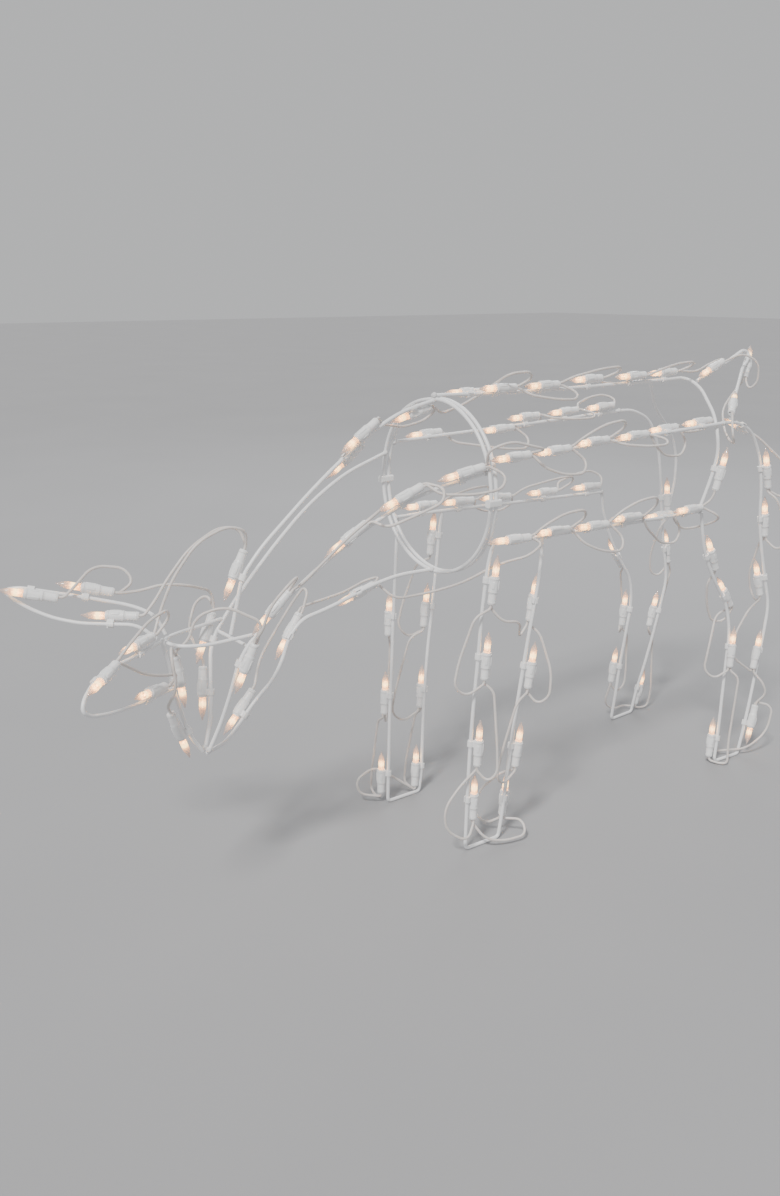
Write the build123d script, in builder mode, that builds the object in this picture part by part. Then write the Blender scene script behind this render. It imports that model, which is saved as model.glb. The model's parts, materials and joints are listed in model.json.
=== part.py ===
"""Lighted grazing deer: a bent-rod frame that carries a string of clip-on mini lamps.

Millimetres, +Z up.  The deer faces -Y and its own left side is +X.  Routes and stations
are laid out from the ground midway between the front toes and the hind toes.  Each saved
node is then moved along Y, so that the origin is on the ground, under the middle of the
whole figure's bounding box.
"""

from build123d import *
from math import cos, radians, sin, tan
import os

os.makedirs("parts", exist_ok=True)

# ---------------------------------------------------------------- driving dimensions
ROD = 3.2  # steel rod of the body, neck and legs, painted
FINE_ROD = 2.8  # lighter rod of the brow and the ears
TO_ORIGIN = 121.0  # from the middle of the stance to the middle of the bounding box, along Y
GROUND = ROD / 2  # centre height of a rod that lies on the ground
HOOP_REAR = -151.0  # Y of the body hoop, which the rails meet
HOOP_FRONT = -156.5  # Y of the neck hoop, which the neck rods meet
TOE = 163.0  # distance of each toe from the middle of the stance, along Y
FOOT_BEND = 4.0  # bend radius at toes and heels

LEAD = 2.2  # insulated single-core lead
HOLDER_BACK = -20.0  # tail face of a lampholder, measured from the middle of its clip
HOLDER_FRONT = 3.0  # mouth of a lampholder
HOLDER_RADIUS = 4.1
BULB_TIP = 22.0  # tip of the glass, measured from the middle of the clip
GLASS_RADIUS = 2.7
CLIP_OFFSET = 6.9  # from the rod's axis to the lampholder's axis
LEAD_SPACING = 2.6  # between the two leads that leave a lampholder's tail
SOCKET_DEPTH = 2.0  # how far a lead reaches into the tail
LEAD_LOWEST = 2.4  # centre height of a lead where it lies near the ground
TUCK = 0.45  # share of a run that a bend may use


# ---------------------------------------------------------------- helpers
def bend_radii(points, fixed=None):
    """Radius of each bend: as large as its two runs allow, unless it is fixed."""
    fixed = fixed or {}
    corners = [Vector(*point) for point in points]
    radii = []
    for index in range(1, len(corners) - 1):
        before = corners[index] - corners[index - 1]
        after = corners[index + 1] - corners[index]
        turn = radians(before.get_angle(after))
        largest = TUCK * min(before.length, after.length) / tan(turn / 2)
        radii.append(min(largest, fixed.get(index, largest)))
    return radii


def centre_line(points, fixed=None):
    """Straight runs joined by tangent arcs."""
    return FilletPolyline(*points, radius=bend_radii(points, fixed))


def round_bar(line, diameter):
    """A round bar that follows a line."""
    with BuildPart() as bar:
        with BuildSketch(Plane(origin=line @ 0, z_dir=line % 0)):
            Circle(diameter / 2)
        sweep(path=line)
    return bar.part


def mirrored(points):
    """The same route on the deer's right side."""
    return [(-x, y, z) for x, y, z in points]


def save(shape, name):
    """Set a node down at the part's origin, label it and write its file."""
    shape = shape.moved(Location((0, TO_ORIGIN, 0)))
    shape.label = name
    export_step(shape, f"parts/{name}.step")


# ---------------------------------------------------------------- frame routes
SPINE = [
    (0, -157.5, 389.2), (0, -60, 386.4), (0, 60, 387), (0, 163, 388.5), (22, 158, 380),
    (55.5, 137, 359.5), (66, 131, 343), (67, 133, 325), (66, 129, 307), (64.5, 125, 293), (63, 117, 272.6),
]
RIGHT_HIP = [
    (-3.22, 84, 387.1), (-3.22, 104, 387.6), (-13, 124, 385), (-28, 146, 373), (-44, 172, 353),
    (-54, 202, 335), (-60, 223, 317), (-63, 235, 294), (-64, 236.5, 270), (-64.5, 232, 248), (-64.5, 221.4, 229),
]
MID_RAIL = [(65.5, -149.6, 343), (66, -80, 345), (65, 20, 347.5), (65, 140, 351.5)]
LOWER_RAIL = [(63, -149.6, 275.5), (66, -118, 275), (66, 0, 271.5), (64.5, 60, 270.5), (62.5, 117.5, 269.5)]
HIND_BACK = [
    (65, 140, 351.5), (65, 160, 351), (64, 186, 341), (64, 203, 315), (64, 211, 282), (63, 214, 250),
    (64, 220, 220), (65.5, 230, 184), (67, 238, 157), (68, 233, 129), (69, 226, 100), (71, 216, 60),
    (73, 205, 24), (73, 199, GROUND), (72, 181, GROUND),
]
HIND_BACK_BENDS = {13: FOOT_BEND}
HIND_FRONT = [
    (72, 181, GROUND), (71, TOE, GROUND), (70, 167, 32), (69, 169.5, 62), (67, 173.5, 99), (65, 178.5, 138),
    (63, 172, 168), (63, 154, 190), (62.5, 139, 212), (63, 128.5, 232), (64, 122.5, 251), (63.5, 119.5, 268),
]
HIND_FRONT_BENDS = {1: FOOT_BEND}
FRONT_LEG = [
    (64.2, -146.4, 273.9), (62, -149, 258), (60, -152.5, 220), (59.5, -155, 180), (58, -157.5, 140),
    (57.5, -160, 100), (57, -161.5, 60), (57, -TOE, GROUND), (57.5, -125, GROUND),
    (58, -121.5, 22), (60, -119, 60), (62, -115.5, 100), (64, -111, 140), (65, -105, 180), (67, -99, 220),
    (68, -95, 250), (66.2, -93.5, 272.9),
]
FRONT_LEG_BENDS = {7: FOOT_BEND, 8: FOOT_BEND}
HOOP_HALF = [(38, 376), (60, 355), (71, 325), (70, 295), (62, 275), (45, 256), (20, 243.5)]
HOOP_TOP = 386
HOOP_BOTTOM = 240.5
TAIL = [
    (8, 168.6, 385.2), (5, 214, 400), (5, 243, 412.5), (6.5, 250.5, 410), (10, 245, 402), (15, 231, 396),
    (34, 199, 379), (55, 164, 362), (65, 150, 354.6),
]
TAIL_BENDS = {3: 3.0}
CREST = [
    (0, -158.2, 385), (0, -192, 378), (0, -223, 363), (0, -273, 328), (0, -325, 284), (0, -342, 264),
    (0, -347, 244), (0, -353.4, 220.6),
]
NECK_SIDE = [
    (67, -158.2, 334), (54, -212, 322), (45, -255, 301), (35, -297, 271), (27, -334, 239), (23.5, -359, 210),
    (16, -364, 180), (8, -370, 153), (3.1, -377.5, 133),
]
FOREHEAD = [(0, -410, 228), (0, -405, 204), (0, -402.5, 185), (0, -396, 161), (0, -391, 146), (0, -382, 132)]
THROAT = [
    (0, -158.2, 241.6), (0, -193, 242.5), (0, -222, 238), (0, -261, 226.5), (0, -290, 221), (0, -302.5, 208),
    (0, -309, 190), (0, -318, 176), (0, -336, 161), (0, -350, 145), (0, -362, 134), (0, -379.5, 129.2),
]
BROW_HALF = [(25.1, -347.9, 226), (22.5, -366, 224.5), (20.5, -384, 223.5), (13, -401, 223.8), (0, -407, 224.3)]
BROW_BAR = [(-22.9, -352.5, 217.5), (22.9, -352.5, 217.5)]
RIGHT_EAR = [
    (-3, -412.4, 228), (-10, -424, 239), (-22, -443, 240), (-31, -458, 241), (-44, -474, 245), (-55, -487, 252),
    (-63, -497, 260), (-65.5, -499, 265.5), (-60, -491, 267), (-50, -470, 262), (-40, -443, 255),
    (-26, -420, 249), (-15, -407, 242), (-12, -401.5, 227.2),
]
RIGHT_EAR_BENDS = {7: 2.6}
LEFT_EAR = [
    (3, -412.8, 227), (20, -440, 226), (36, -465, 227), (51, -483, 225), (60, -493, 219), (63, -496, 212),
    (60, -489, 206), (48, -471, 200), (32, -449, 195), (16, -427, 191), (3, -405.4, 189.5),
]


def hoop_line(y):
    """Egg-shaped ring in a plane across the body."""
    left = [(x, y, z) for x, z in HOOP_HALF]
    ring = [(0, y, HOOP_TOP)] + left + [(0, y, HOOP_BOTTOM)] + mirrored(reversed(left))
    return Spline(*ring, periodic=True)


# ---------------------------------------------------------------- frame nodes
lines = {
    "spine_rail": centre_line(SPINE),
    "hip_hoop_right": centre_line(RIGHT_HIP),
    "mid_rail_left": centre_line(MID_RAIL),
    "mid_rail_right": centre_line(mirrored(MID_RAIL)),
    "lower_rail_left": centre_line(LOWER_RAIL),
    "lower_rail_right": centre_line(mirrored(LOWER_RAIL)),
    "hind_leg_back_left": centre_line(HIND_BACK, HIND_BACK_BENDS),
    "hind_leg_back_right": centre_line(mirrored(HIND_BACK), HIND_BACK_BENDS),
    "hind_leg_front_left": centre_line(HIND_FRONT, HIND_FRONT_BENDS),
    "hind_leg_front_right": centre_line(mirrored(HIND_FRONT), HIND_FRONT_BENDS),
    "front_leg_left": centre_line(FRONT_LEG, FRONT_LEG_BENDS),
    "front_leg_right": centre_line(mirrored(FRONT_LEG), FRONT_LEG_BENDS),
    "body_hoop": hoop_line(HOOP_REAR),
    "neck_hoop": hoop_line(HOOP_FRONT),
    "tail_loop": centre_line(TAIL, TAIL_BENDS),
    "neck_crest": centre_line(CREST),
    "neck_side_left": centre_line(NECK_SIDE),
    "neck_side_right": centre_line(mirrored(NECK_SIDE)),
    "forehead_rod": centre_line(FOREHEAD),
    "throat_rod": centre_line(THROAT),
    "brow_arch": centre_line(BROW_HALF + mirrored(reversed(BROW_HALF[:-1]))),
    "brow_bar": Line(*BROW_BAR),
    "ear_left": centre_line(LEFT_EAR),
    "ear_right": centre_line(RIGHT_EAR, RIGHT_EAR_BENDS),
}
FINE = ("brow_arch", "brow_bar", "ear_left", "ear_right")
for name, line in lines.items():
    save(round_bar(line, FINE_ROD if name in FINE else ROD), name)


def coupler(x, z, lean):
    """Plastic block that snaps the neck hoop to the body hoop."""
    middle = (HOOP_REAR + HOOP_FRONT) / 2
    half_gap = (HOOP_REAR - HOOP_FRONT) / 2
    with BuildPart(Plane(origin=(x, middle, z)).rotated((0, lean, 0))) as block:
        Box(6, 12.4, 6)
        fillet(block.edges().filter_by(Axis.Y), 1.4)
        with Locations((0, half_gap, 0), (0, -half_gap, 0)):
            Cylinder(ROD / 2 + 0.15, 8, mode=Mode.SUBTRACT)
    return block.part


couplers = [coupler(71.9, 310, 2), coupler(-71.9, 310, -2)]
save(Compound(children=couplers), "hoop_couplers")

# ---------------------------------------------------------------- lamps
# Each lamp: the rod it is clipped to, how far along it, the side it sits on, and whether its
# bulb points along the rod (1) or back (-1).
LAMPS = {
    "front_leg_left": [
        ("front_leg_left", 30, (7, 7, 0), -1), ("front_leg_left", 96, (6, 8, 0), -1),
        ("front_leg_left", 174, (7, 7, 0), -1), ("front_leg_left", 226, (1, 9, 0), -1),
        ("front_leg_left", 346, (-7, 7, 0), 1), ("front_leg_left", 396, (3, 9, 0), 1),
        ("front_leg_left", 470, (5, 9, 0), 1), ("front_leg_left", 528, (-9, 5, 0), 1),
    ],
    "front_leg_right": [
        ("front_leg_right", 90, (-1, 0, 0), -1), ("front_leg_right", 166, (-9, -2, 0), -1),
        ("front_leg_right", 244, (-5, -8, 0), -1), ("front_leg_right", 334, (-1, -9, 0), 1),
        ("front_leg_right", 411, (-9, 1, 0), 1), ("front_leg_right", 492, (-3, -9, 0), 1),
        ("front_leg_right", 560, (-8, -6, 0), 1),
    ],
    "hind_leg_left": [
        ("hind_leg_back_left", 31, (-9, -1, -1), -1), ("hind_leg_back_left", 91, (9, 1, 0), -1),
        ("hind_leg_back_left", 144, (1, 9, 1), -1), ("hind_leg_back_left", 208, (-8, -6, -2), -1),
        ("hind_leg_back_left", 288, (1, -9, 2), -1), ("hind_leg_back_left", 366, (6, 8, 0), 1),
        ("hind_leg_front_left", 41, (-4, -9, 0), 1), ("hind_leg_front_left", 138, (9, -3, 1), 1),
        ("hind_leg_front_left", 194, (-4, 7, 6), 1), ("hind_leg_front_left", 250, (2, 9, 4), 1),
    ],
    "hind_leg_right": [
        ("hind_leg_back_right", 141, (6, 8, 1), -1), ("hind_leg_back_right", 203, (-3, 9, 3), -1),
        ("hind_leg_back_right", 278, (-8, -6, 2), -1), ("hind_leg_back_right", 371, (-3, 9, -3), -1),
        ("hind_leg_front_right", 79, (-8, -6, 1), 1), ("hind_leg_front_right", 146, (-8, -6, 0), 1),
        ("hind_leg_front_right", 219, (-9, 3, 2), 1),
    ],
    "back_and_tail": [
        ("spine_rail", 38, (-9, 0, 1), -1), ("spine_rail", 66, (8, 0, 7), -1), ("spine_rail", 118, (7, 0, 7), -1),
        ("spine_rail", 180, (-2, 0, 9), -1), ("spine_rail", 236, (3, 0, 9), -1),
        ("spine_rail", 285, (-2, 0, 9), -1), ("tail_loop", 20, (6, -3, 7), -1), ("tail_loop", 92, (-4, 6, -7), -1),
        ("tail_loop", 196, (3, -2, 9), -1), ("spine_rail", 436, (8, 5, 0), -1),
    ],
    "left_side": [
        ("mid_rail_left", 13, (9, 0, 2), -1), ("mid_rail_left", 58, (9, 0, 2), -1), ("mid_rail_left", 105, (8, 0, 5), -1),
        ("mid_rail_left", 155, (9, 0, 5), -1), ("mid_rail_left", 210, (-9, 0, 3), -1),
        ("mid_rail_left", 258, (-9, 0, 5), -1), ("lower_rail_left", 17, (9, 0, 3), -1),
        ("lower_rail_left", 63, (8, 0, 6), -1), ("lower_rail_left", 110, (8, 0, 6), -1),
        ("lower_rail_left", 156, (4, 0, 9), -1), ("lower_rail_left", 214, (-9, 0, 0), -1),
        ("lower_rail_left", 243, (7, 0, 7), -1),
    ],
    "right_side": [
        ("mid_rail_right", 39, (-9, 0, 3), -1), ("mid_rail_right", 116, (9, 0, 0), -1),
        ("mid_rail_right", 157, (-2, 0, 9), -1), ("mid_rail_right", 210, (-2, 0, 9), -1),
        ("mid_rail_right", 260, (1, 0, 9), -1), ("lower_rail_right", 31, (-2, 0, 9), -1),
        ("lower_rail_right", 76, (-3, 0, 9), -1), ("lower_rail_right", 123, (-2, 0, 9), -1),
        ("lower_rail_right", 186, (-4, 0, 9), -1), ("lower_rail_right", 245, (-1, 0, 9), -1),
    ],
    "neck": [
        ("neck_crest", 22, (-5, 3, -8), 1), ("neck_crest", 79, (5, -5, 7), 1), ("neck_crest", 97, (-7, 4, -6), 1),
        ("neck_crest", 224, (-5, -8, 2), 1), ("neck_side_left", 22, (4, -3, 9), 1),
        ("neck_side_left", 75, (3, -5, 8), 1), ("neck_side_left", 127, (6, -5, 6), 1),
        ("neck_side_left", 205, (7, -6, 4), 1), ("neck_side_left", 250, (9, 2, -4), 1),
        ("throat_rod", 78, (-8, 1, -5), 1), ("throat_rod", 150, (-9, 3, -1), 1),
    ],
    "head": [
        ("throat_rod", 222, (-9, -3, 3), 1), ("neck_side_right", 243, (-5, -8, 3), 1),
        ("neck_side_right", 284, (-8, -6, 0), 1), ("forehead_rod", 34, (8, 5, 1), 1),
        ("forehead_rod", 78, (-2, -9, -4), 1), ("ear_left", 26, (-2, -1, 9), 1), ("ear_left", 82, (7, 5, 4), 1),
        ("ear_left", 186, (3, 4, 9), -1), ("ear_right", 36, (-6, 3, 7), 1), ("ear_right", 134, (9, -4, -3), -1),
        ("ear_right", 172, (-2, 3, 9), -1),
    ],
}


def lamp_place(rod, distance, side, sense):
    """Plane at the middle of a lamp's clip: Z to the bulb's tip, X away from the rod."""
    line = lines[rod]
    along = line.tangent_at(distance, position_mode=PositionMode.LENGTH)
    point = line.position_at(distance, position_mode=PositionMode.LENGTH)
    away = Vector(*side)
    away = (away - along * away.dot(along)).normalized()
    return Plane(origin=point + away * CLIP_OFFSET, x_dir=away, z_dir=along * sense)


def make_holder(rod_radius):
    """Lampholder: tapered barrel with a socket, two lead holes and an open clip for the rod."""
    with BuildPart() as holder:
        with BuildSketch(Plane.XZ):
            with BuildLine():
                Polyline(
                    (0, HOLDER_BACK), (2.9, HOLDER_BACK), (3.4, HOLDER_BACK + 0.8), (3.5, -11), (HOLDER_RADIUS, -9),
                    (HOLDER_RADIUS, HOLDER_FRONT), (2.95, HOLDER_FRONT), (2.95, -9), (0, -9), (0, HOLDER_BACK),
                )
            make_face()
        revolve(axis=Axis.Z)
        with Locations((-5, 0, 0)):
            Box(3, 3.4, 5)
        with Locations((-CLIP_OFFSET, 0, 0)):
            Cylinder(rod_radius + 1.3, 5)
            Cylinder(rod_radius + 0.15, 6, mode=Mode.SUBTRACT)
        with Locations((-CLIP_OFFSET - 2.5, 0, 0)):
            Box(3.6, 2.2, 6, mode=Mode.SUBTRACT)
        with Locations((0, LEAD_SPACING / 2, HOLDER_BACK), (0, -LEAD_SPACING / 2, HOLDER_BACK)):
            Cylinder(LEAD / 2 + 0.02, 2 * SOCKET_DEPTH, mode=Mode.SUBTRACT)
    return holder.part


def make_base():
    """Bulb base: plug in the socket with a collar at its mouth and a well for the bulb's wires."""
    with BuildPart() as base:
        with BuildSketch(Plane.XZ):
            with BuildLine():
                Polyline(
                    (0.9, -7), (2.8, -7), (2.8, HOLDER_FRONT), (3.5, HOLDER_FRONT), (3.5, HOLDER_FRONT + 1.2),
                    (0.9, HOLDER_FRONT + 1.2), (0.9, -7),
                )
            make_face()
        revolve(axis=Axis.Z)
    return base.part


def make_glass():
    """Mini-lamp envelope: thin tube with a drawn-out tip."""
    foot = HOLDER_FRONT + 1.2
    wall = 0.45
    with BuildPart() as glass:
        with BuildSketch(Plane.XZ):
            with BuildLine():
                outer = Spline(
                    (GLASS_RADIUS, foot + 10), (1.9, foot + 14.4), (0.45, BULB_TIP - 0.35), tangents=((0, 1), (-0.35, 1)),
                )
                Line(outer @ 1, (0, BULB_TIP))
                Line((0, BULB_TIP), (0, BULB_TIP - 2.6))
                inner = Spline(
                    (0, BULB_TIP - 2.6), (1.4, foot + 14), (GLASS_RADIUS - wall, foot + 10), tangents=((1, -0.6), (0, -1)),
                )
                Polyline(
                    inner @ 1, (GLASS_RADIUS - wall, foot + 1), (0, foot + 1), (0, foot), (GLASS_RADIUS, foot), outer @ 0,
                )
            make_face()
        revolve(axis=Axis.Z)
    return glass.part


def make_filament():
    """Glass bead, two support wires and the filament between them."""
    foot = HOLDER_FRONT + 2.2
    with BuildPart() as filament:
        with Locations((0, 0, foot + 2.8)):
            Cylinder(0.9, 1.2)
        with Locations((0, 0.55, foot + 3.6), (0, -0.55, foot + 3.6)):
            Cylinder(0.14, 7)
        with Locations(Location((0, 0, foot + 7), (90, 0, 0))):
            Cylinder(0.16, 1.5)
    return filament.part


def make_contacts():
    """Two brass blades at the bottom of the socket, one on each lead."""
    with BuildPart() as contacts:
        with Locations((0, LEAD_SPACING / 2, -8), (0, -LEAD_SPACING / 2, -8)):
            Box(1.6, 0.4, 1.9)
    return contacts.part


body_holder = make_holder(ROD / 2)
fine_holder = make_holder(FINE_ROD / 2)
base, glass, filament, contacts = make_base(), make_glass(), make_filament(), make_contacts()
places = {zone: [lamp_place(*lamp) for lamp in lamps] for zone, lamps in LAMPS.items()}
every_place = [place for zone in places.values() for place in zone]


def copies(shape, spots):
    """One separate solid of a shape at each place."""
    return [solid.moved(spot.location) for spot in spots for solid in shape.solids()]


for zone, spots in places.items():
    holders = []
    for lamp, spot in zip(LAMPS[zone], spots):
        holders += copies(fine_holder if lamp[0] in FINE else body_holder, [spot])
    save(Compound(children=holders), f"{zone}_lampholders")
    save(Compound(children=copies(glass, spots)), f"{zone}_bulbs")
save(Compound(children=copies(base, every_place)), "bulb_bases")
save(Compound(children=copies(filament, every_place)), "filaments")
save(Compound(children=copies(contacts, every_place)), "socket_contacts")
print(len(every_place), "lamps")


# ---------------------------------------------------------------- leads
# Loops between neighbours on one rod: the lamp ahead, the lamp behind it, and how far the
# loop stands out beside the lamp behind, along X, Y and Z.
LOOPS = {
    "front_leg_left": [
        (0, 1, (-5, -26, 0)), (1, 2, (12, 11, 0)), (5, 4, (-19, -12, 0)), (6, 5, (4, -24, 0)), (7, 6, (14, 12, 0)),
    ],
    "front_leg_right": [
        (0, 1, (-14, 13, 0)), (1, 2, (-19, 3, 0)), (4, 3, (-22, 6, 0)), (5, 4, (-5, -26, 0)), (6, 5, (-20, -12, 0)),
    ],
    "hind_leg_left": [
        (0, 1, (14, 15, 0)), (1, 2, (20, 2, 0)), (2, 3, (-18, 10, 0)), (7, 6, (14, 9, 0)), (8, 7, (-12, -20, 0)),
        (9, 8, (-10, -20, -8)),
    ],
    "hind_leg_right": [
        (0, 1, (-4, -22, 0)), (1, 2, (-4, 18, 0)), (2, 3, (2, 19, 0)), (5, 4, (4, 17, 0)), (6, 5, (-14, 14, 6)),
    ],
    "back_and_tail": [
        (0, 1, (12, 0, 12)), (1, 2, (17, 0, -10)), (2, 3, (16, 0, 10)), (3, 4, (-18, 0, -9)), (4, 5, (15, 0, 9)),
        (5, 6, (-18, 0, -6)),
    ],
    "left_side": [
        (0, 1, (12, 0, -17)), (1, 2, (14, 0, 15)), (2, 3, (18, 0, -6)), (3, 4, (4, 0, -23)), (4, 5, (-15, 0, -10)),
        (6, 7, (12, 0, 16)), (7, 8, (13, 0, -19)), (8, 9, (12, 0, 18)), (9, 10, (4, 0, -24)),
    ],
    "right_side": [
        (0, 1, (14, 0, -16)), (1, 2, (-16, 0, -12)), (2, 3, (17, 0, -6)), (3, 4, (-16, 0, 8)),
        (5, 6, (14, 0, 14)), (6, 7, (-15, 0, -16)), (7, 8, (15, 0, 15)), (8, 9, (-15, 0, 12)),
    ],
    "neck": [
        (1, 0, (-15, 0, -14)), (5, 4, (15, 0, -14)), (6, 5, (17, -4, -14)), (7, 6, (18, -6, 8)),
        (8, 7, (16, -8, 10)), (10, 9, (-18, 0, -4)),
    ],
    "head": [(2, 1, (-14, -9, 0)), (4, 3, (14, -8, 0)), (6, 5, (8, 4, 18)), (9, 10, (-8, 4, 16))],
}
# Links from one rod to another: zone and lamp at each end, and points between.
LINKS = {
    "front_leg_left": [
        (("front_leg_left", 2), [(60, -172, 66), (58, -188, 48), (58, -186, 26), (66, -168, 14)], ("front_leg_left", 3)),
        (("front_leg_left", 3), [(66, -148, 10), (72, -130, 5), (76, -108, 6), (66, -104, 16)], ("front_leg_left", 4)),
        (("front_leg_left", 0), [(70, -138, 208), (72, -120, 206), (60, -110, 186)], ("front_leg_left", 7)),
    ],
    "front_leg_right": [
        (("front_leg_right", 2), [(-72, -186, 10), (-74, -188, 24), (-72, -168, 34)], ("front_leg_right", 3)),
    ],
    "hind_leg_left": [
        (("hind_leg_left", 3), [(52, 226, 150), (56, 200, 128), (62, 190, 108)], ("hind_leg_left", 4)),
        (("hind_leg_left", 4), [(82, 220, 78), (84, 224, 66)], ("hind_leg_left", 5)),
        (("hind_leg_left", 5), [(88, 232, 52), (88, 226, 24), (80, 204, 8), (66, 186, 6), (58, 168, 6)], ("hind_leg_left", 6)),
    ],
    "hind_leg_right": [
        (("hind_leg_right", 3), [(-86, 200, 5), (-84, 180, 5), (-82, 162, 18)], ("hind_leg_right", 4)),
    ],
    "back_and_tail": [
        (("back_and_tail", 6), [(20, 222, 411), (29, 238, 402), (28, 240, 382), (21, 236, 374)], ("back_and_tail", 7)),
        (
            ("back_and_tail", 7),
            [(6, 222, 362), (18, 200, 354), (42, 172, 342), (64, 152, 334), (82, 136, 334), (86, 126, 346)],
            ("back_and_tail", 8),
        ),
        (("back_and_tail", 9), [(69, 124, 280)], ("left_side", 11)),
        (("neck", 0), [(-12, -140, 372), (-20, -112, 376), (-20, -92, 384)], ("back_and_tail", 0)),
    ],
    "left_side": [
        (("left_side", 10), [(50, 96, 262), (48, 112, 250), (50, 132, 250), (66, 137, 257), (80, 127, 266)], ("left_side", 11)),
        (("neck", 4), [(75, -164, 353), (84, -148, 360), (87, -112, 351)], ("left_side", 0)),
        (("neck", 9), [(6, -202, 224), (24, -176, 230), (44, -158, 240), (62, -140, 256), (80, -120, 264), (80, -106, 272)],
         ("left_side", 6)),
    ],
    "head": [
        (("neck", 3), [(2, -338, 300), (2, -354, 305), (0, -378, 296), (-3, -398, 270), (-4, -408, 248)], ("head", 5)),
        (("neck", 3), [(-9, -338, 300), (-11, -354, 302), (-12, -378, 290), (-12, -398, 268), (-12, -408, 254)], ("head", 8)),
        (("head", 6), [(36, -452, 226), (28, -436, 214), (22, -418, 208), (14, -405, 204)], ("head", 7)),
        (("head", 3), [(9, -393, 226), (12, -388, 244), (24, -370, 252), (36, -346, 238)], ("neck", 8)),
        (("head", 0), [(-14, -322, 190), (-20, -304, 208), (-20, -286, 230), (-16, -278, 242), (-8, -279, 240)], ("neck", 10)),
        (("head", 10), [(-30, -412, 258), (-24, -396, 262), (-24, -376, 258), (-32, -352, 248)], ("head", 1)),
    ],
}


def behind(place, hole, reach):
    """Point behind a lampholder's tail, in line with one of its two lead holes."""
    return place.from_local_coords(Vector(0, hole * LEAD_SPACING / 2, HOLDER_BACK - reach))


taken = set()


def nearest_hole(zone, lamp, toward):
    """The lead hole on the side that a lead leaves to, or the other one if that is taken."""
    hole = 1 if places[zone][lamp].y_dir.dot(toward) > 0 else -1
    if (zone, lamp, hole) in taken:
        hole = -hole
    taken.add((zone, lamp, hole))
    return hole


def loop_route(zone, ahead, rear, swing):
    """Out of one tail, past the lamp behind, and round into that lamp's tail."""
    first, last = places[zone][ahead], places[zone][rear]
    back = last.z_dir * -1
    out = Vector(*swing)
    out = out - back * out.dot(back)
    out_hole, in_hole = nearest_hole(zone, ahead, out), nearest_hole(zone, rear, out)
    start, end = behind(first, out_hole, 0), behind(last, in_hole, 0)
    return [
        behind(first, out_hole, -SOCKET_DEPTH), behind(first, out_hole, 3.5), start + back * 10 + out * 0.55,
        end - back * 18 + out, end + back * 4 + out * 1.1, end + back * 13 + out * 0.6,
        behind(last, in_hole, 3.5), behind(last, in_hole, -SOCKET_DEPTH),
    ]


def link_route(start, via, finish):
    """Out of one tail, through chosen points, and into another lamp's tail."""
    first, last = places[start[0]][start[1]], places[finish[0]][finish[1]]
    middle = [Vector(*point) for point in via]
    out_hole = nearest_hole(*start, middle[0] - behind(first, 0, 0))
    in_hole = nearest_hole(*finish, middle[-1] - behind(last, 0, 0))
    return [
        behind(first, out_hole, -SOCKET_DEPTH), behind(first, out_hole, 3.5), *middle,
        behind(last, in_hole, 3.5), behind(last, in_hole, -SOCKET_DEPTH),
    ]


routes = {zone: [] for zone in LAMPS}
for zone, loops in LOOPS.items():
    routes[zone] += [loop_route(zone, *loop) for loop in loops]
for zone, links in LINKS.items():
    routes[zone] += [link_route(*link) for link in links]
for zone, zone_routes in routes.items():
    tubes = []
    for number, route in enumerate(zone_routes):
        points = [(point.X, point.Y, max(point.Z, LEAD_LOWEST)) for point in route]
        line = centre_line(points)
        tube = round_bar(line, LEAD)
        ideal = line.length * 3.14159 * (LEAD / 2) ** 2
        tightest = min(bend_radii(points))
        print(f"{zone} lead {number}: {line.length:.0f} mm, bend {tightest:.1f}, volume ratio {tube.volume / ideal:.3f}")
        tubes += tube.solids()
    save(Compound(children=tubes), f"{zone}_leads")
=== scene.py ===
"""Lighted grazing deer: white painted rods strung with clip-on mini lamps, lit.

The rods, lampholders, leads, bulb bases, contacts and filaments are the CAD frame's own.
The glass bulbs, the rings and pads moulded on the lampholders and the weld beads where
rods meet are surfaces worked out here, placed from the frame.
"""

import json
import math

import bpy
import numpy as np
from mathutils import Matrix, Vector


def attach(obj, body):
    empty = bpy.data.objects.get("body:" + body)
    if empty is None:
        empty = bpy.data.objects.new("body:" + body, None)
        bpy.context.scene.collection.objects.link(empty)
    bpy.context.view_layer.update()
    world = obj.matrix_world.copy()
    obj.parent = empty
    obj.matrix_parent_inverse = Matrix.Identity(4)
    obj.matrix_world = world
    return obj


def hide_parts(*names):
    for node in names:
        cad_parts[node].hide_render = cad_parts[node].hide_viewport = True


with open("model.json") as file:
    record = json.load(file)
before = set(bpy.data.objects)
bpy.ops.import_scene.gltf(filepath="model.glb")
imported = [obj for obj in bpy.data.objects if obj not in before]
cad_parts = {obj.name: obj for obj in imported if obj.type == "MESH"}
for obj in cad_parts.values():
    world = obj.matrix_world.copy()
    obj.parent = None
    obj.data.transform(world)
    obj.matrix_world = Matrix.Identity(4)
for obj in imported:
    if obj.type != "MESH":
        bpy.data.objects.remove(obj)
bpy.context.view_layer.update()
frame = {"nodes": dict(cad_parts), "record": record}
nodes = frame["nodes"]
scene = bpy.context.scene

MM = 0.001
ZONES = (
    "front_leg_left", "front_leg_right", "hind_leg_left", "hind_leg_right",
    "back_and_tail", "left_side", "right_side", "neck", "head",
)

# Along a lamp's own axis, from the middle of its clip
GLASS_FOOT = 4.2 * MM
GLASS_TIP = 22.0 * MM
GLASS_RADIUS = 2.7 * MM
STRAIGHT_SHARE = 0.56  # of the glass, from its foot, before it tapers
BARREL_RADIUS = 4.1 * MM
BARREL_MOUTH = 3.0 * MM
BARREL_SHOULDER = -9.0 * MM
BARREL_TAIL = -20.0 * MM
TAIL_RADIUS = 3.42 * MM

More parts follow.
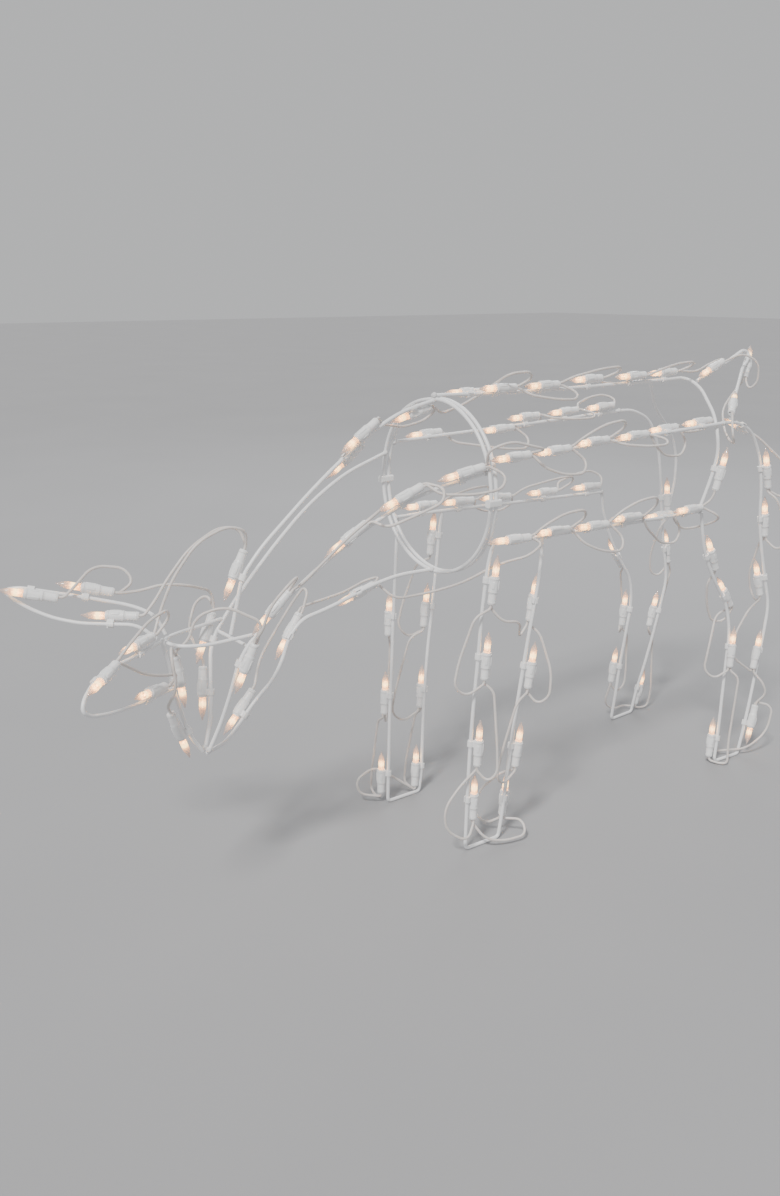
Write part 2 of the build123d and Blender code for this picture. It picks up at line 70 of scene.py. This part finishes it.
SAME_PLACE = 0.002 * MM  # vertices closer than this are one
THIN_SLICE = 0.1 * MM  # height of the slice that shows how wide a glass is at its end
END_LENGTH = 2.0 * MM  # length of rod that counts as its end
WELD_RADIUS = 2.5 * MM


# ---------------------------------------------------------------- camera
def make_camera(place, heading, downward, lens):
    """A camera at place that looks along a compass heading, counted from +Y towards -X, and down."""
    turn, dip = math.radians(heading), math.radians(downward)
    look = Vector((-math.sin(turn) * math.cos(dip), math.cos(turn) * math.cos(dip), -math.sin(dip)))
    data = bpy.data.cameras.new("camera")
    data.lens = lens
    data.sensor_width = 36
    data.clip_start = 0.01
    camera = bpy.data.objects.new("camera", data)
    camera.rotation_mode = "QUATERNION"
    camera.rotation_quaternion = look.to_track_quat("-Z", "Y")
    camera.location = place
    scene.collection.objects.link(camera)
    scene.camera = camera


make_camera(place=(0.706, -0.605, 0.476), heading=53.45, downward=16.016, lens=32.78)


# ---------------------------------------------------------------- studio
def make_light(kind, name, place, strength, colour):
    """A light of one kind at place, facing the middle of the figure."""
    data = bpy.data.lights.new(name, kind)
    data.energy = strength
    data.color = colour
    light = bpy.data.objects.new(name, data)
    light.location = place
    light.rotation_mode = "QUATERNION"
    light.rotation_quaternion = (Vector(AIM) - Vector(place)).to_track_quat("-Z", "Y")
    scene.collection.objects.link(light)
    return data


def make_surround(colour, strength):
    """Even light from all round."""
    world = bpy.data.worlds.new("studio")
    world.use_nodes = True
    background = world.node_tree.nodes["Background"]
    background.inputs["Color"].default_value = (*colour, 1)
    background.inputs["Strength"].default_value = strength
    scene.world = world


AIM = (0, 0, 0.22)
make_surround((0.98, 0.99, 1.0), 0.6)
key = make_light("SUN", "key_light", (0.9, -1.5, 2.2), 3.6, (1.0, 0.985, 0.96))
key.angle = math.radians(10)  # soft edges to its shadows
rear = make_light("AREA", "rear_light", (-1.2, 1.4, 1.6), 14, (0.94, 0.97, 1.0))
rear.shape = "SQUARE"
rear.size = 1.0


# ---------------------------------------------------------------- shader maths
class Value:
    """A socket that takes part in arithmetic: each operator adds one Math node."""

    def __init__(self, tree, socket):
        self.tree = tree
        self.socket = socket

    def maths(self, operation, *terms):
        return self.tree.node("ShaderNodeMath", {"operation": operation}, dict(enumerate(terms)))

    def __add__(self, other):
        return self.maths("ADD", self, other)

    def __sub__(self, other):
        return self.maths("SUBTRACT", self, other)

    def __rsub__(self, other):
        return self.maths("SUBTRACT", other, self)

    def __mul__(self, other):
        return self.maths("MULTIPLY", self, other)

    def __truediv__(self, other):
        return self.maths("DIVIDE", self, other)

    def __rtruediv__(self, other):
        return self.maths("DIVIDE", other, self)

    def __pow__(self, other):
        return self.maths("POWER", self, other)

    def clamped(self):
        return self.maths("MINIMUM", self.maths("MAXIMUM", self, 0.0), 1.0)

    def bell(self, middle, width):
        """A smooth hump: e to the minus square of the distance from the middle, in widths."""
        away = (self - middle) / width
        return self.maths("POWER", math.e, away * away * -1.0)

    __radd__ = __add__
    __rmul__ = __mul__


class Finish:
    """One material and the nodes that feed its shader."""

    def __init__(self, name, **settings):
        self.material = bpy.data.materials.new(name)
        self.material.use_nodes = True
        self.tree = self.material.node_tree
        self.shader = self.tree.nodes["Principled BSDF"]
        for socket, value in settings.items():
            self.shader.inputs[socket.replace("_", " ")].default_value = value

    def node(self, kind, settings, sockets, output=0):
        made = self.tree.nodes.new(kind)
        for name, value in settings.items():
            setattr(made, name, value)
        for name, value in sockets.items():
            self.feed(made.inputs[name], value)
        return Value(self, made.outputs[output])

    def feed(self, socket, value):
        if isinstance(value, Value):
            self.tree.links.new(value.socket, socket)
        elif value is not None:
            socket.default_value = value

    def set(self, socket, value):
        self.feed(self.shader.inputs[socket], value)

    def place(self):
        return self.node("ShaderNodeTexCoord", {}, {}, "Object")

    def attribute(self, name):
        return self.node("ShaderNodeAttribute", {"attribute_name": name}, {}, "Fac")

    def noise(self, per_metre, detail=2.0):
        sockets = {"Vector": self.place(), "Scale": per_metre, "Detail": detail}
        return self.node("ShaderNodeTexNoise", {}, sockets, "Fac")

    def mix(self, share, first, second):
        """A colour that goes from first to second as share goes from 0 to 1."""
        sockets = {0: share, 6: (*first, 1) if isinstance(first, tuple) else first,
                   7: (*second, 1) if isinstance(second, tuple) else second}
        return self.node("ShaderNodeMix", {"data_type": "RGBA"}, sockets, 2)

    def bump(self, height, depth):
        sockets = {"Height": height, "Strength": 1.0, "Distance": depth}
        self.set("Normal", self.node("ShaderNodeBump", {}, sockets))


def painted_steel():
    """Thick white dip paint on drawn rod: satin, a little uneven, with faint grey in the lows."""
    finish = Finish("white_rod_paint", IOR=1.5, Coat_Weight=0.25, Coat_Roughness=0.2)
    cloud = finish.noise(140, 3)
    grain = finish.noise(900, 2)
    finish.set("Base Color", finish.mix(cloud, (0.80, 0.81, 0.83), (0.90, 0.90, 0.90)))
    finish.set("Roughness", 0.30 + cloud * 0.16)
    finish.bump(cloud * 0.7 + grain * 0.3, 0.00018)
    return finish.material


def weld_paint():
    """The same paint where it runs thin over a weld: greyer, lumpy."""
    finish = Finish("weld_paint", IOR=1.5)
    cloud = finish.noise(420, 4)
    finish.set("Base Color", finish.mix(cloud, (0.45, 0.45, 0.46), (0.86, 0.86, 0.86)))
    finish.set("Roughness", 0.42 + cloud * 0.2)
    finish.bump(cloud, 0.0004)
    return finish.material


def holder_plastic():
    """White polypropylene: smooth, slightly milky, with a fine moulded texture."""
    milky = {"Subsurface_Weight": 0.12, "Subsurface_Radius": (0.004, 0.003, 0.003), "Subsurface_Scale": 1.0}
    finish = Finish("holder_plastic", IOR=1.49, **milky)
    cloud = finish.noise(60, 2)
    grain = finish.noise(1600, 2)
    finish.set("Base Color", finish.mix(cloud, (0.86, 0.855, 0.86), (0.92, 0.915, 0.91)))
    finish.set("Roughness", 0.24 + grain * 0.14)
    finish.bump(grain, 0.00005)
    return finish.material


def lead_vinyl_with_painted_shade():
    """Soft vinyl insulation: warm greyish white, faintly see-through, with slow waves along it of a darker
    greyish brown that is painted shade.
    """
    milky = {"Subsurface_Weight": 0.15, "Subsurface_Radius": (0.003, 0.002, 0.0015), "Subsurface_Scale": 1.0}
    finish = Finish("lead_vinyl_with_painted_shade", IOR=1.53, **milky)
    cloud = finish.noise(45, 3)
    grain = finish.noise(700, 2)
    # painted shade: the darker greyish-brown first colour stands in for shade falling on the leads; the paler
    # second colour is the vinyl's own
    finish.set("Base Color", finish.mix(cloud, (0.58, 0.53, 0.50), (0.76, 0.725, 0.70)))
    finish.set("Roughness", 0.34 + cloud * 0.14)
    finish.bump(grain * 0.5 + cloud, 0.0001)
    return finish.material


def lit_glass():
    """Thin clear glass over a glowing filament: amber at the foot, near white at the filament
    and clear grey towards the drawn tip."""
    finish = Finish("lit_glass", IOR=1.5, Emission_Strength=4.4, Coat_Weight=0.6, Coat_Roughness=0.03)
    along = finish.attribute("along")
    lamp = finish.attribute("lamp")
    ripple = finish.noise(420, 2)
    core = along.bell(0.30, 0.15)
    amber = along.bell(0.20, 0.27)
    glow = (core * 0.75 + amber * 0.35) * (0.85 + lamp * 0.3)
    warm = finish.mix(core.clamped(), (1.0, 0.30, 0.04), (1.0, 0.66, 0.24))
    finish.set("Emission Color", finish.mix(glow.clamped(), (0.03, 0.02, 0.017), warm))
    tint = finish.mix((along * 1.15).clamped(), (1.0, 0.80, 0.58), (0.50, 0.44, 0.42))
    finish.set("Base Color", tint)
    finish.set("Alpha", (0.46 + glow * 0.42 + ripple * 0.10 + along ** 6 * 0.3).clamped())
    finish.set("Roughness", 0.05 + ripple * 0.08)
    return finish.material


def glowing_wire():
    """Filament, bead and supports at full heat."""
    finish = Finish("glowing_wire", Roughness=0.4, Emission_Strength=14.0)
    shimmer = finish.noise(2500, 1)
    finish.set("Base Color", finish.mix(shimmer, (0.9, 0.55, 0.25), (1.0, 0.75, 0.4)))
    finish.set("Emission Color", finish.mix(shimmer, (1.0, 0.52, 0.18), (1.0, 0.72, 0.36)))
    return finish.material


def brass_strip():
    """Bright rolled brass, lightly tarnished."""
    finish = Finish("brass_strip", Metallic=1.0)
    cloud = finish.noise(500, 3)
    finish.set("Base Color", finish.mix(cloud, (0.52, 0.36, 0.13), (0.78, 0.58, 0.27)))
    finish.set("Roughness", 0.28 + cloud * 0.2)
    return finish.material


def pale_ground():
    """Plain flat floor: an even grey, faintly mottled, matte."""
    finish = Finish("pale_ground", Specular_IOR_Level=0.1)
    cloud = finish.noise(3, 2)
    finish.set("Base Color", finish.mix(cloud, (0.33, 0.33, 0.34), (0.36, 0.36, 0.37)))
    finish.set("Roughness", 0.75 + cloud * 0.1)
    return finish.material


# ---------------------------------------------------------------- surfaces
def make_piece(name, grids, material, attributes=None):
    """One mesh from stacked grids of points, shape (copies, rows, columns, 3): each cell of each
    grid is a quad, and the last column joins the first."""
    copies, rows, columns = grids.shape[:3]
    index = np.arange(copies * rows * columns).reshape(copies, rows, columns)
    index = np.concatenate([index, index[:, :, :1]], axis=2)
    corners = (index[:, :-1, :-1], index[:, :-1, 1:], index[:, 1:, 1:], index[:, 1:, :-1])
    quads = np.stack(corners, axis=-1).reshape(-1, 4)
    mesh = bpy.data.meshes.new(name)
    mesh.from_pydata(grids.reshape(-1, 3).tolist(), [], quads.tolist())
    for key, values in (attributes or {}).items():
        layer = mesh.attributes.new(key, "FLOAT", "POINT")
        layer.data.foreach_set("value", np.ascontiguousarray(values, np.float32).ravel())
    mesh.polygons.foreach_set("use_smooth", np.ones(len(mesh.polygons), bool))
    mesh.materials.append(material)
    piece = bpy.data.objects.new(name, mesh)
    scene.collection.objects.link(piece)
    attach(piece, "root")
    return piece


def turned(lamps, radius, height, sides):
    """A profile turned round each lamp's axis: the point at angle a and step k is the lamp's middle
    plus height k along its axis plus radius k times (cos a across + sin a beside)."""
    angle = np.linspace(0, 2 * np.pi, sides, endpoint=False)
    across = np.cos(angle)[None, None, :, None] * lamps["across"][:, None, None]
    beside = np.sin(angle)[None, None, :, None] * lamps["beside"][:, None, None]
    rise = height[None, :, None, None] * lamps["axis"][:, None, None]
    return lamps["middle"][:, None, None] + rise + radius[None, :, None, None] * (across + beside)


def vertices_of(node):
    """All vertices of a CAD node, one row each."""
    mesh = nodes[node].data
    points = np.zeros(len(mesh.vertices) * 3)
    mesh.vertices.foreach_get("co", points)
    return points.reshape(-1, 3)


def islands(node):
    """The vertices of each separate shell of a CAD node: vertices in the same place are merged, then
    every vertex takes the lowest label among its neighbours until none changes."""
    mesh = nodes[node].data
    points = vertices_of(node)
    mesh.calc_loop_triangles()
    faces = np.zeros(len(mesh.loop_triangles) * 3, int)
    mesh.loop_triangles.foreach_get("vertices", faces)
    cells = np.round(points / SAME_PLACE)
    _, first, same = np.unique(cells, axis=0, return_index=True, return_inverse=True)
    faces = same.ravel()[faces].reshape(-1, 3)
    label = np.arange(len(first))
    while True:
        lowest = label.copy()
        for corner in range(3):
            np.minimum.at(lowest, faces[:, corner], label[faces].min(axis=1))
        lowest = lowest[lowest]
        if (lowest == label).all():
            break
        label = lowest
    points = points[first]
    return [points[label == value] for value in np.unique(label)]


def unit(vectors):
    return vectors / np.linalg.norm(vectors, axis=-1, keepdims=True)


def find_lamps(zone):
    """Middle, axis and two cross directions of each lamp, from its glass and its lampholder: the axis
    is the glass's longest direction, and it points where the glass is thinnest."""
    middles, axes = [], []
    for shell in islands(f"{zone}_bulbs"):
        centre = shell.mean(axis=0)
        axis = np.linalg.svd(shell - centre)[2][0]
        height = (shell - centre) @ axis
        if np.ptp(height) < 0.9 * (GLASS_TIP - GLASS_FOOT):
            continue  # the hollow inside
        spread = np.linalg.norm(shell - centre - height[:, None] * axis, axis=1)
        ends = [spread[np.abs(height - end) < THIN_SLICE].max() for end in (height.min(), height.max())]
        if ends[0] < ends[1]:
            axis, height = -axis, -height  # the tip was taken for the foot
        middles.append(centre + (height.min() - GLASS_FOOT) * axis)
        axes.append(axis)
    middles, axes = np.array(middles), np.array(axes)
    holders = np.array([shell.mean(axis=0) for shell in islands(f"{zone}_lampholders")])
    nearest = np.linalg.norm(holders[None] - middles[:, None], axis=2).argmin(axis=1)
    towards = holders[nearest] - middles
    towards -= (towards * axes).sum(axis=1, keepdims=True) * axes
    across = unit(-towards)
    return {"middle": middles, "axis": axes, "across": across, "beside": np.cross(axes, across)}


def bulb_glass(zone, lamps, finish, draw):
    """Mini-lamp envelope: straight from the foot for just over half its length, then the radius falls by
    a power of the share of the taper that is passed, with a small bell-shaped bead before the tip."""
    tapered = 1 - STRAIGHT_SHARE
    quarter = np.sin(np.linspace(0, np.pi / 2, 17))
    share = np.concatenate([np.linspace(0, STRAIGHT_SHARE, 7)[:-1], STRAIGHT_SHARE + tapered * quarter])
    taper = np.clip((share - STRAIGHT_SHARE) / tapered, 0, 1)
    radius = GLASS_RADIUS * ((1 - taper ** 1.35) * 0.97 + 0.03)
    radius = radius + 0.34 * MM * np.exp(-(((taper - 0.94) / 0.07) ** 2)) * (taper > 0.7)
    height = GLASS_FOOT + share * (GLASS_TIP - GLASS_FOOT)
    radius = np.concatenate([[0.0, 0.93 * GLASS_RADIUS], radius, [0.0]])
    height = np.concatenate([[GLASS_FOOT, GLASS_FOOT], height, [GLASS_TIP]])
    grids = turned(lamps, radius, height, 20)
    rise = (height - GLASS_FOOT) / (GLASS_TIP - GLASS_FOOT)
    along = np.broadcast_to(rise[None, :, None], grids.shape[:3])
    lamp = np.broadcast_to(draw.random(len(lamps["axis"]))[:, None, None], grids.shape[:3])
    piece = make_piece(f"{zone}_glass", grids, finish, attributes={"along": along, "lamp": lamp})
    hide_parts(f"{zone}_bulbs")


def holder_rings(zone, lamps, finish):
    """Moulded rings round each barrel, at its mouth, its shoulder and its tail: each is a closed
    rounded band, a circle of small radius squashed against the barrel and turned round the axis."""
    turn = np.linspace(0, 2 * np.pi, 9)
    bands = ((BARREL_MOUTH - 0.9 * MM, BARREL_RADIUS, 0.75), (BARREL_SHOULDER, BARREL_RADIUS - 0.1 * MM, 0.7),
             (BARREL_TAIL + 1.9 * MM, TAIL_RADIUS, 0.8))
    grids = np.concatenate([
        turned(lamps, radius + 0.13 * MM * np.cos(turn), height - half * MM * np.sin(turn), 24)
        for height, radius, half in bands
    ])
    piece = make_piece(f"{zone}_holder_rings", grids, finish)


def holder_pads(zone, lamps, finish):
    """A long flat pad on each barrel, opposite the clip, and a smaller one on each flank: a pillow whose
    section is a square raised to the fourth power, lying on the barrel."""
    turn = np.linspace(0, 2 * np.pi, 17)[:-1]
    swell = (np.abs(np.cos(turn)) ** 4 + np.abs(np.sin(turn)) ** 4) ** -0.25
    rise = np.sin(np.linspace(-np.pi / 2, np.pi / 2, 9))
    plump = np.cos(np.linspace(-np.pi / 2, np.pi / 2, 9)) ** 0.35

    def pad(outward, sideways, reach, width, length, middle):
        flat = width * np.cos(turn) * swell
        thick = 0.42 * MM * np.sin(turn) * swell
        spot = lamps["middle"] + middle * lamps["axis"] + reach * outward
        return (spot[:, None, None] + (length * rise)[None, :, None, None] * lamps["axis"][:, None, None]
                + (plump[:, None] * flat)[None, :, :, None] * sideways[:, None, None]
                + (plump[:, None] * thick)[None, :, :, None] * outward[:, None, None])

    across, beside = lamps["across"], lamps["beside"]
    grids = np.concatenate([
        pad(across, -beside, BARREL_RADIUS - 0.05 * MM, 1.5 * MM, 4.6 * MM, -3.2 * MM),
        pad(beside, across, BARREL_RADIUS - 0.10 * MM, 1.1 * MM, 3.4 * MM, -3.2 * MM),
        pad(-beside, -across, BARREL_RADIUS - 0.10 * MM, 1.1 * MM, 3.4 * MM, -3.2 * MM),
    ])
    piece = make_piece(f"{zone}_holder_pads", grids, finish)


def rod_end(name, way):
    """Where a rod reaches furthest along Y, ahead (-1) or behind (1): the middle of the box round
    its last few millimetres of vertices."""
    points = vertices_of(name)
    along = points[:, 1] * way
    near = points[along > along.max() - END_LENGTH]
    return (near.min(axis=0) + near.max(axis=0)) / 2


def weld_beads(spots, finish):
    """A lumpy bead round each joint: a ball whose radius swells and dips by the product of two sines of
    its longitude and latitude, and which closes to a point at both poles."""
    spots = np.array(spots)
    longitude = np.linspace(0, 2 * np.pi, 16, endpoint=False)[None, None, :]
    latitude = np.linspace(-np.pi / 2, np.pi / 2, 9)[None, :, None]
    phase = np.arange(len(spots))[:, None, None] * 1.7
    lump = 1 + 0.14 * np.sin(3 * longitude + phase) * np.cos(latitude) * np.sin(2 * latitude + phase)
    size = WELD_RADIUS * lump
    ball = np.stack([
        size * np.cos(latitude) * np.cos(longitude),
        size * np.cos(latitude) * np.sin(longitude),
        size * np.sin(latitude) * np.ones_like(longitude),
    ], axis=-1)
    piece = make_piece("weld_beads", spots[:, None, None] + ball, finish)


# ---------------------------------------------------------------- build
rod_paint, weld = painted_steel(), weld_paint()
# vinyl is the lead finish, whose darker greyish-brown tone is painted shade
holder, vinyl, glass = holder_plastic(), lead_vinyl_with_painted_shade(), lit_glass()
wire, brass = glowing_wire(), brass_strip()
by_slot = {
    "frame": rod_paint, "holder": holder, "lead": vinyl,
    "glass": glass, "filament": wire, "brass": brass,
}
slot_of = {part["node"]: part["material_slot"] for part in frame["record"]["subparts"]}
for name, node in nodes.items():
    node.data.materials.clear()
    node.data.materials.append(by_slot[slot_of[name]])

draw = np.random.default_rng(7)
for zone in ZONES:
    lamps = find_lamps(zone)
    bulb_glass(zone, lamps, glass, draw)
    holder_rings(zone, lamps, holder)
    holder_pads(zone, lamps, holder)

SIDES = ("left", "right")
joints = [rod_end(f"{rod}_{side}", -1) for rod in ("mid_rail", "lower_rail", "neck_side") for side in SIDES]
joints += [rod_end(f"{rod}_{side}", 1) for rod in ("mid_rail", "lower_rail", "neck_side") for side in SIDES]
joints += [rod_end(rod, 1) for rod in ("neck_crest", "throat_rod")]
joints += [rod_end(rod, -1) for rod in ("spine_rail", "hip_hoop_right")]
weld_beads(joints, weld)

ground = bpy.data.meshes.new("ground")
REACH = 14.0
corners = [(-REACH, -REACH, 0), (REACH, -REACH, 0), (REACH, REACH, 0), (-REACH, REACH, 0)]
ground.from_pydata(corners, [], [(0, 1, 2, 3)])
ground.materials.append(pale_ground())
floor = bpy.data.objects.new("ground", ground)
scene.collection.objects.link(floor)
